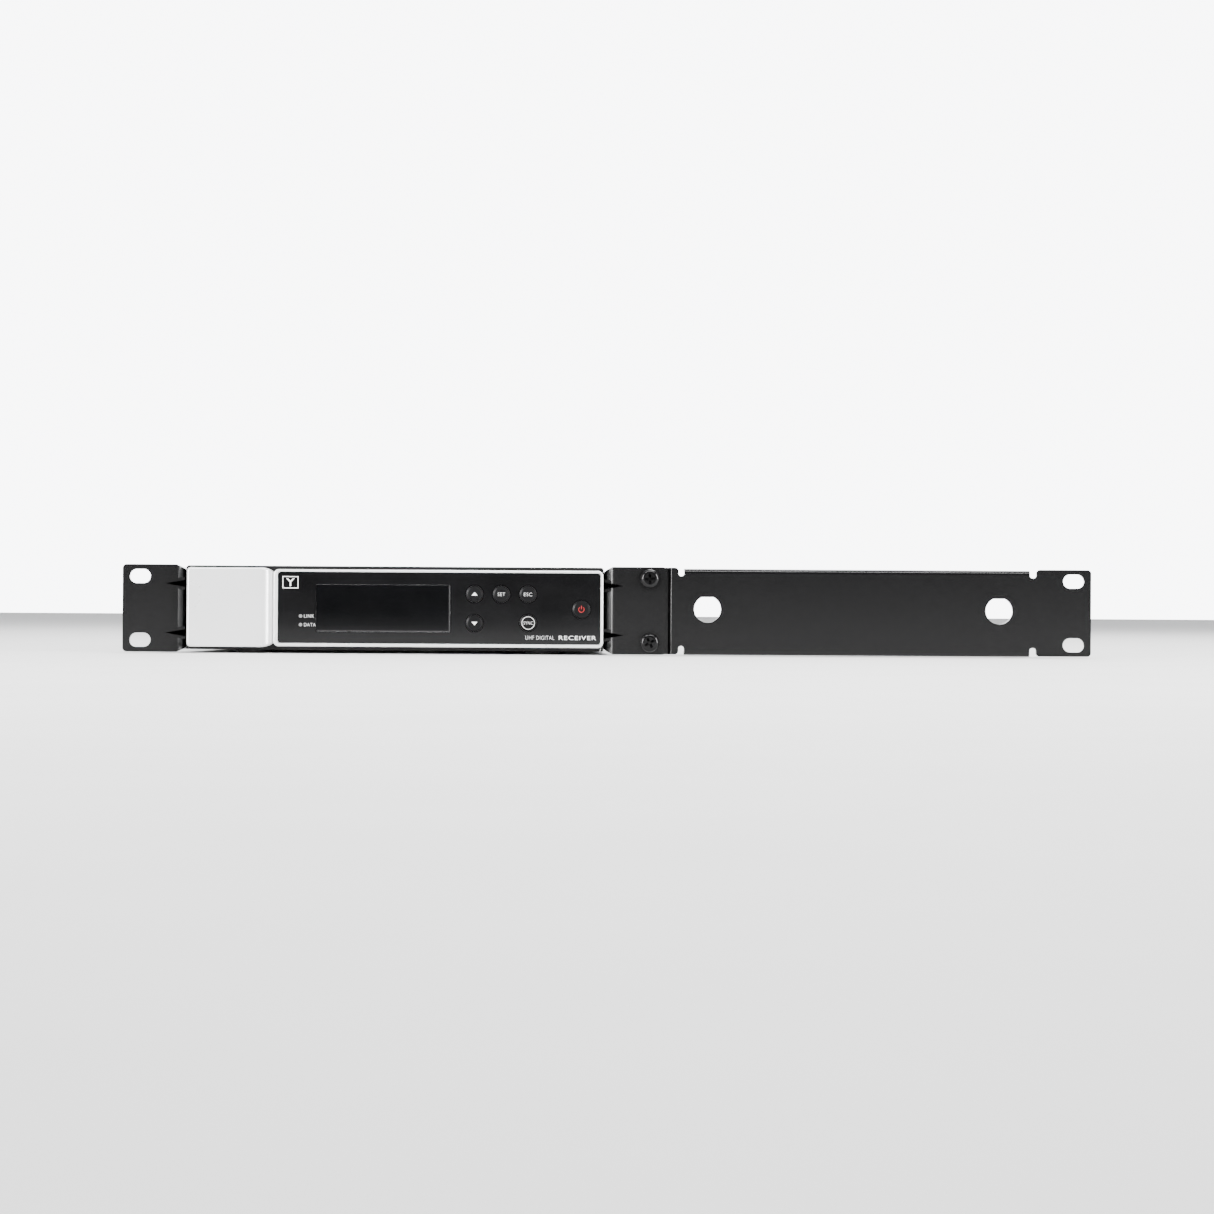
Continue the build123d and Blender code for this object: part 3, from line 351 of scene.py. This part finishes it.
def arc_band(radius, width, start, end, steps):
    """Quads of a band along an arc about the origin, from and to an angle in degrees."""
    angles = [math.radians(start + (end - start) * i / steps) for i in range(steps + 1)]
    inner, outer = (
        [(r * math.cos(a), r * math.sin(a)) for a in angles]
        for r in (radius - width / 2, radius + width / 2)
    )
    return [[inner[i], outer[i], outer[i + 1], inner[i + 1]] for i in range(steps)]


def bar(x, y):
    """A rectangle from its (low, high) spans."""
    return [(x[0], y[0]), (x[1], y[0]), (x[1], y[1]), (x[0], y[1])]


def lettering(
    name, words, at, y, height, material, body=CHASSIS, width=None, weight=LETTER_WEIGHT, rear=False,
    left=False,
):
    """Words in plain capitals, `height` mm tall and, where given, `width` mm wide.

    `at` is their middle or, with `left`, the middle of their left end.
    """
    curve = bpy.data.curves.new(name + "_font", "FONT")
    curve.body = words
    curve.offset = weight
    curve.space_character = LETTER_SPACING
    curve.resolution_u = 4
    source = bpy.data.objects.new(name + "_font", curve)
    mesh = bpy.data.meshes.new_from_object(source)
    bm = bmesh.new()
    bm.from_mesh(mesh)
    xs = [v.co.x for v in bm.verts]
    ys = [v.co.y for v in bm.verts]
    rise = height * MM / (max(ys) - min(ys))
    run = width * MM / (max(xs) - min(xs)) if width else rise
    anchor = min(xs) if left else (min(xs) + max(xs)) / 2
    middle = (min(ys) + max(ys)) / 2
    for vert in bm.verts:
        vert.co = ((vert.co.x - anchor) * run, (vert.co.y - middle) * rise, 0)
    bpy.data.objects.remove(source)
    bpy.data.curves.remove(curve)
    bpy.data.meshes.remove(mesh)
    prism_from(name, bm, at, y, material, body, rear)


def key_face(name):
    """(x, z) of a key's middle and the y of its flat face."""
    middle = centre(f"{name}_button")
    return (middle.x, middle.z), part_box(f"{name}_button")[0][1]


# ---- Keys: sizes in millimetres about each key's middle ----
ARROW_HALF_WIDTH = 1.45
ARROW_BASE = -0.7
ARROW_TIP = 0.95
KEY_WORD_WIDTHS = {"set": 3.7, "esc": 4.1}
KEY_WORD_HEIGHT = 1.75
SYNC_WORD = (4.7, 1.6)
SYNC_RING_RADIUS = 3.12
SYNC_RING_LINE = 0.19
STANDBY_RADIUS = 1.35
STANDBY_LINE = 0.26
STANDBY_GAP = (125, 415)
STANDBY_BAR = ((-0.15, 0.15), (0.2, 1.85))

for key, tip in (("up", 1), ("down", -1)):
    at, y = key_face(key)
    foot = ARROW_BASE * tip
    arrow = [(-ARROW_HALF_WIDTH, foot), (ARROW_HALF_WIDTH, foot), (0.0, ARROW_TIP * tip)]
    prism_from(f"{key}_arrow", outline([arrow[::tip]]), at, y, PRINT_WHITE, f"{key}_key")
for key, width in KEY_WORD_WIDTHS.items():
    at, y = key_face(key)
    lettering(f"{key}_word", key.upper(), at, y, KEY_WORD_HEIGHT, PRINT_SOFT, f"{key}_key", width)
at, y = key_face("sync")
lettering("sync_word", "SYNC", at, y, SYNC_WORD[1], PRINT_SOFT, "sync_key", SYNC_WORD[0])
ring = arc_band(SYNC_RING_RADIUS, SYNC_RING_LINE, 0, 360, 72)
prism_from("sync_ring", outline(ring), at, y, PRINT_WHITE, "sync_key")
at, y = key_face("power")
standby = arc_band(STANDBY_RADIUS, STANDBY_LINE, *STANDBY_GAP, 36) + [bar(*STANDBY_BAR)]
prism_from("power_symbol", outline(standby), at, y, STANDBY_RED_PAINTED_GLOW, "power_key")

# ---- Fascia: sizes in millimetres ----
LIGHT_WORD_WIDTHS = {"link": 5.0, "data": 5.8}
LIGHT_WORD_HEIGHT = 1.7
LIGHT_WORD_OFFSET = 1.75
MARK_INSET = (6.2, 5.2)
MARK_HALF_SPAN = (3.95, 3.0)
MARK_LINE = 0.36
LINE_WORD_RISE = 3.3
LINE_WORD_HEIGHT = 2.05
THIN_WORD_FROM_RIGHT = 37.2
THIN_WORD_WIDTH = 14.3
BOLD_WORD_FROM_RIGHT = 20.6
BOLD_WORD_WIDTH = 18.5
BOLD_WEIGHT = 0.002

FASCIA_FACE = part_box("fascia_panel")[0][1]
for light, width in LIGHT_WORD_WIDTHS.items():
    middle = centre(f"{light}_light_pipe")
    place = (middle.x + LIGHT_WORD_OFFSET * MM, middle.z)
    lettering(
        f"{light}_word", light.upper(), place, FASCIA_FACE, LIGHT_WORD_HEIGHT, PRINT_SOFT, width=width,
        left=True,
    )
fascia_low, fascia_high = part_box("fascia_panel")
mark_at = (fascia_low[0] + MARK_INSET[0] * MM, fascia_high[2] - MARK_INSET[1] * MM)
mark_w, mark_h = MARK_HALF_SPAN
inner_w, inner_h = mark_w - MARK_LINE, mark_h - MARK_LINE
border = [
    bar((-mark_w, mark_w), (-mark_h, -inner_h)),
    bar((-mark_w, mark_w), (inner_h, mark_h)),
    bar((-mark_w, -inner_w), (-inner_h, inner_h)),
    bar((inner_w, mark_w), (-inner_h, inner_h)),
]
prism_from("mark_frame", outline(border), mark_at, FASCIA_FACE, PRINT_WHITE, CHASSIS)
aerial = [
    bar((-0.35, 0.35), (-1.9, 0.2)),
    [(-0.35, 0.2), (0.35, 0.2), (2.1, 1.9), (1.2, 1.9), (0.0, 0.75)],
    [(-0.35, 0.2), (0.0, 0.75), (-1.2, 1.9), (-2.1, 1.9)],
]
prism_from("mark_aerial", outline(aerial), mark_at, FASCIA_FACE, PRINT_WHITE, CHASSIS)
line_z = fascia_low[2] + LINE_WORD_RISE * MM
lettering(
    "line_word_thin", "UHF DIGITAL", (fascia_high[0] - THIN_WORD_FROM_RIGHT * MM, line_z), FASCIA_FACE,
    LINE_WORD_HEIGHT, PRINT_SOFT, width=THIN_WORD_WIDTH, left=True,
)
lettering(
    "line_word_bold", "RECEIVER", (fascia_high[0] - BOLD_WORD_FROM_RIGHT * MM, line_z), FASCIA_FACE,
    LINE_WORD_HEIGHT, PRINT_WHITE, width=BOLD_WORD_WIDTH, left=True, weight=BOLD_WEIGHT,
)

# ---- Display: a painted highlight along the glass's right and lower sides, standing in for the bright edge of the bonded glass ----
EDGE_INSET = 0.14
EDGE_LINE = 0.45
EDGE_LEFT_GAP = 0.5
glass_low, glass_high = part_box("display_window")
GLASS_SPAN = ((glass_high[0] - glass_low[0]) / MM, (glass_high[2] - glass_low[2]) / MM)


def painted_edge_highlight():
    """Painted highlight: light caught by the glass's edge, painted as colour on a thin strip; it fades
    towards the left and the bottom.
    """
    finish = Finish("painted_edge_highlight", (0.20, 0.20, 0.21), 0.25, Coat_Weight=0.6, Coat_Roughness=0.05)
    split = finish.node("ShaderNodeSeparateXYZ")
    finish.link(finish.place, split.inputs["Vector"])
    rise = finish.remap(split.outputs["Z"], 0.35, 0.5, glass_low[2], glass_high[2])
    run = finish.remap(split.outputs["X"], 0.3, 1.0, glass_low[0], glass_high[0])
    both = finish.node("ShaderNodeMath", operation="MULTIPLY")
    finish.link(rise, both.inputs[0])
    finish.link(run, both.inputs[1])
    # painted highlight: brightest at the top right, darker towards the left and the bottom
    shade = finish.mix(both.outputs[0], (0.003, 0.003, 0.003), (0.060, 0.060, 0.062))
    finish.link(shade, finish.shader.inputs["Base Color"])
    return finish.relief(finish.noise(0.8 * MM), 0.003 * MM)


edge_w, edge_h = (span / 2 - EDGE_INSET for span in GLASS_SPAN)
strips = [
    bar((-edge_w + EDGE_LEFT_GAP, edge_w), (-edge_h, -edge_h + EDGE_LINE)),
    bar((edge_w - EDGE_LINE, edge_w), (-edge_h + EDGE_LINE, edge_h)),
]
glass_middle = centre("display_window")
# a thin strip on the window's face carrying the painted highlight along its right and lower sides
prism_from(
    "display_painted_edge_highlight", outline(strips), (glass_middle.x, glass_middle.z), glass_low[1],
    painted_edge_highlight().material, CHASSIS,
)

# ---- Rear labels: how far below its socket's middle each stands and how tall it is, in millimetres ----
REAR_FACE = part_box("base_tray")[1][1]
for name, words, node, drop, tall in (
    ("ant_1", "ANT 1", "antenna_socket_1", 12.6, 2.0),
    ("ant_2", "ANT 2", "antenna_socket_2", 12.6, 2.0),
    ("bal", "BAL OUT", "xlr_housing", 17.2, 1.8),
    ("unbal", "UNBAL OUT", "jack_nut", 12.2, 1.8),
    ("dc", "DC 12 V", "dc_socket", -8.6, 1.8),
):
    middle = centre(node)
    level = middle.z - drop * MM
    lettering(f"rear_{name}_word", words, (middle.x, level), REAR_FACE, tall, PRINT_SOFT, rear=True)


# ---- Floor, light and camera ----
def pale_floor():
    """Plain matt floor."""
    finish = Finish("pale_floor", (0.74, 0.74, 0.735), 0.75)
    finish.mottled(60 * MM, 0.015)
    return finish.relief(finish.noise(2.0 * MM), 0.01 * MM)


FLOOR_HALF = 6.0
floor_mesh = bpy.data.meshes.new("floor")
corners = [(FLOOR_HALF * x, FLOOR_HALF * y, 0) for x, y in ((-1, -1), (1, -1), (1, 1), (-1, 1))]
floor_mesh.from_pydata(corners, [], [(0, 1, 2, 3)])
floor_mesh.materials.append(pale_floor().material)
floor = bpy.data.objects.new("floor", floor_mesh)
bpy.context.scene.collection.objects.link(floor)


def softbox(name, place, target, size, power):
    """Rectangular area light of `size` metres and `power` watts, turned to face `target`."""
    light = bpy.data.lights.new(name, "AREA")
    light.shape = "RECTANGLE"
    light.size, light.size_y = size
    light.energy = power
    lamp = bpy.data.objects.new(name, light)
    lamp.location = place
    lamp.rotation_euler = (Vector(target) - Vector(place)).to_track_quat("-Z", "Y").to_euler()
    bpy.context.scene.collection.objects.link(lamp)


def studio_world():
    """Soft room: a lit wall behind the object and a dimmer room in front of it."""
    world = bpy.data.worlds.new("studio")
    world.use_nodes = True
    nodes, links = world.node_tree.nodes, world.node_tree.links
    background = nodes["Background"]
    background.inputs["Color"].default_value = (0.97, 0.98, 1.0, 1.0)
    place = nodes.new("ShaderNodeTexCoord")
    split = nodes.new("ShaderNodeSeparateXYZ")
    links.new(place.outputs["Generated"], split.inputs["Vector"])
    levels = []
    for start, end, low, high in ((0.1, 0.85, 0.14, 2.0), (0.88, 0.95, 0.0, 6.5)):
        fade = nodes.new("ShaderNodeMapRange")
        fade.inputs["From Min"].default_value = start
        fade.inputs["From Max"].default_value = end
        fade.inputs["To Min"].default_value = low
        fade.inputs["To Max"].default_value = high
        links.new(split.outputs["Y"], fade.inputs["Value"])
        levels.append(fade.outputs["Result"])
    total = nodes.new("ShaderNodeMath")
    links.new(levels[0], total.inputs[0])
    links.new(levels[1], total.inputs[1])
    links.new(total.outputs["Value"], background.inputs["Strength"])
    return world


bpy.context.scene.world = studio_world()
softbox("left_window", (-1.50, -1.10, 0.5), (0, 0, 0.02), (0.8, 1.2), 42)
softbox("right_window", (1.45, -1.15, 0.5), (0, 0, 0.02), (0.8, 1.2), 42)
softbox("left_strip", (-1.20, -1.45, 0.25), (0.0, -0.09, 0.02), (0.20, 1.0), 46)
softbox("right_strip", (1.25, -0.85, 0.35), (-0.05, -0.09, 0.02), (0.20, 1.1), 34)
softbox("top_strip", (-0.05, -0.75, 1.15), (-0.05, -0.09, 0.02), (1.5, 0.16), 30)
softbox("overhead", (0.25, 0.75, 1.3), (0.15, 0.0, 0.02), (0.9, 0.9), 34)

# Camera: level and square to the front, with a slight roll; lengths in metres, lens in millimetres
LENS = 85.0
SENSOR = 36.0
VISIBLE_WIDTH = 0.6049
SIDE_SHIFT = 0.0001
EYE_RISE = 1.8 * MM
ROLL = math.radians(0.35)
ear_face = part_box("rack_ear_left")[0][1]
ear_low, ear_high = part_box("rack_ear_left")
camera_data = bpy.data.cameras.new("camera")
camera_data.lens = LENS
camera_data.sensor_width = SENSOR
camera = bpy.data.objects.new("camera", camera_data)
level = (ear_low[2] + ear_high[2]) / 2 + EYE_RISE
camera.matrix_world = (
    Matrix.Translation((SIDE_SHIFT, ear_face - VISIBLE_WIDTH * LENS / SENSOR, level))
    @ Matrix.Rotation(math.radians(90), 4, "X")
    @ Matrix.Rotation(ROLL, 4, "Z")
)
bpy.context.scene.collection.objects.link(camera)
bpy.context.scene.camera = camera
